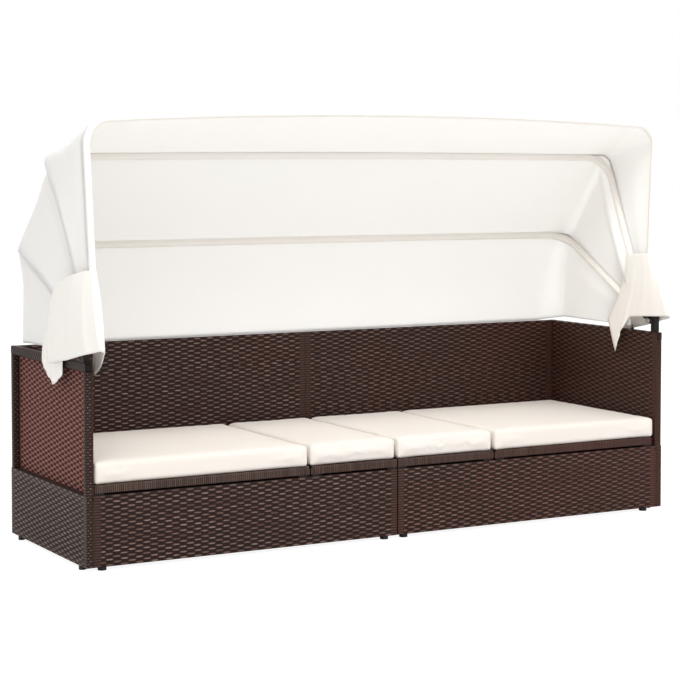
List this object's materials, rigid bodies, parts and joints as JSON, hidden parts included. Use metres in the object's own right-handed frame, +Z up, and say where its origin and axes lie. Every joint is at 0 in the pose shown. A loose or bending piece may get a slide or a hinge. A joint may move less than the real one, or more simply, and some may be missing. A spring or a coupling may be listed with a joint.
{
  "type": "outdoor daybed with canopy",
  "caption": "Woven outdoor daybed with arms, back, seat boxes, cushions, tilting end boards and a cover on three folding bows.",
  "frame": {"origin": "on the floor, at the centre of the whole object's box", "axes": "+X to the right seen from the front, -Y to the front, +Z up"},
  "size_m": [2.0382, 0.69, 1.2878],
  "materials": {
    "wrapped_frame": "steel tube wrapped in dark brown resin strand",
    "woven_skin": "dark brown woven resin strand with a soft sheen",
    "woven_deck": "dark brown resin strand wound side by side",
    "black_steel": "black powder coat",
    "zinc_steel": "zinc plated",
    "glide_plastic": "black moulded",
    "tie_cord": "black elastic cord",
    "cushion_cloth": "cream woven polyester",
    "cover_cloth": "off-white polyester canvas"
  },
  "bodies": {
    "base": {"left_arm_frame": "wrapped_frame", "left_back_frame": "wrapped_frame", "left_box_frame": "wrapped_frame", "left_arm_inner_skin": "woven_skin", "left_arm_outer_skin": "woven_skin", "left_back_front_skin": "woven_skin", "left_back_rear_skin": "woven_skin", "left_box_front_skin": "woven_skin", "left_arm_front_glide": "glide_plastic", "left_arm_rear_glide": "glide_plastic", "left_box_front_outer_glide": "glide_plastic", "left_box_front_inner_glide": "glide_plastic", "left_box_rear_outer_glide": "glide_plastic", "left_box_rear_inner_glide": "glide_plastic", "left_canopy_post": "black_steel", "left_pivot_bolt": "zinc_steel", "left_pivot_nut": "zinc_steel", "left_hinge_rod": "zinc_steel", "left_cover_tie": "tie_cord", "right_arm_frame": "wrapped_frame", "right_back_frame": "wrapped_frame", "right_box_frame": "wrapped_frame", "right_arm_inner_skin": "woven_skin", "right_arm_outer_skin": "woven_skin", "right_back_front_skin": "woven_skin", "right_back_rear_skin": "woven_skin", "right_box_front_skin": "woven_skin", "right_arm_front_glide": "glide_plastic", "right_arm_rear_glide": "glide_plastic", "right_box_front_outer_glide": "glide_plastic", "right_box_front_inner_glide": "glide_plastic", "right_box_rear_outer_glide": "glide_plastic", "right_box_rear_inner_glide": "glide_plastic", "right_canopy_post": "black_steel", "right_pivot_bolt": "zinc_steel", "right_pivot_nut": "zinc_steel", "right_hinge_rod": "zinc_steel", "right_cover_tie": "tie_cord", "seat_board_2_frame": "wrapped_frame", "seat_board_2_deck": "woven_deck", "cushion_2": "cushion_cloth", "seat_board_3_frame": "wrapped_frame", "seat_board_3_deck": "woven_deck", "cushion_3": "cushion_cloth"},
    "left_prop": {"left_headrest_prop": "black_steel"},
    "front_bow": {"cover_left_flap": "cover_cloth", "cover_right_flap": "cover_cloth", "front_bow": "black_steel", "cover_front_panel": "cover_cloth"},
    "right_prop": {"right_headrest_prop": "black_steel"},
    "left_headrest": {"seat_board_1_frame": "wrapped_frame", "seat_board_1_deck": "woven_deck", "cushion_1": "cushion_cloth"},
    "right_headrest": {"seat_board_4_frame": "wrapped_frame", "seat_board_4_deck": "woven_deck", "cushion_4": "cushion_cloth"},
    "rear_bow": {"rear_bow": "black_steel", "cover_rear_panel": "cover_cloth"},
    "middle_bow": {"middle_bow": "black_steel", "cover_middle_panel": "cover_cloth"}
  },
  "joints": [
    {"name": "rear_bow_pivot", "type": "hinge", "parent": "base", "child": "rear_bow", "pos_m": [0, -0.231, 0.62], "axis": [-1, 0, 0], "range_deg": [0, 28], "deforming": ["cover_rear_panel"]},
    {"name": "middle_bow_pivot", "type": "hinge", "parent": "rear_bow", "child": "middle_bow", "pos_m": [0, -0.231, 0.62], "axis": [-1, 0, 0], "range_deg": [0, 23], "deforming": ["cover_middle_panel"]},
    {"name": "front_bow_pivot", "type": "hinge", "parent": "middle_bow", "child": "front_bow", "pos_m": [0, -0.231, 0.62], "axis": [-1, 0, 0], "range_deg": [0, 15], "deforming": ["cover_front_panel", "cover_left_flap", "cover_right_flap"]},
    {"name": "left_headrest_hinge", "type": "hinge", "parent": "base", "child": "left_headrest", "pos_m": [-0.298, 0, 0.238], "axis": [0, 1, 0], "range_deg": [0, 45], "deforming": ["cushion_1"]},
    {"name": "left_prop_pivot", "type": "hinge", "parent": "left_headrest", "child": "left_prop", "pos_m": [-0.59837, 0, 0.199], "axis": [0, -1, 0], "range_deg": [0, 90]},
    {"name": "right_headrest_hinge", "type": "hinge", "parent": "base", "child": "right_headrest", "pos_m": [0.349, 0, 0.238], "axis": [0, -1, 0], "range_deg": [0, 45], "deforming": ["cushion_4"]},
    {"name": "right_prop_pivot", "type": "hinge", "parent": "right_headrest", "child": "right_prop", "pos_m": [0.62117, 0, 0.199], "axis": [0, 1, 0], "range_deg": [0, 90]}
  ],
  "couplings": [
    {"joint": "middle_bow_pivot", "follows": "rear_bow_pivot", "ratio": 0.8214},
    {"joint": "front_bow_pivot", "follows": "rear_bow_pivot", "ratio": 0.5357},
    {"joint": "left_prop_pivot", "follows": "left_headrest_hinge", "ratio": 2},
    {"joint": "right_prop_pivot", "follows": "right_headrest_hinge", "ratio": 2}
  ]
}
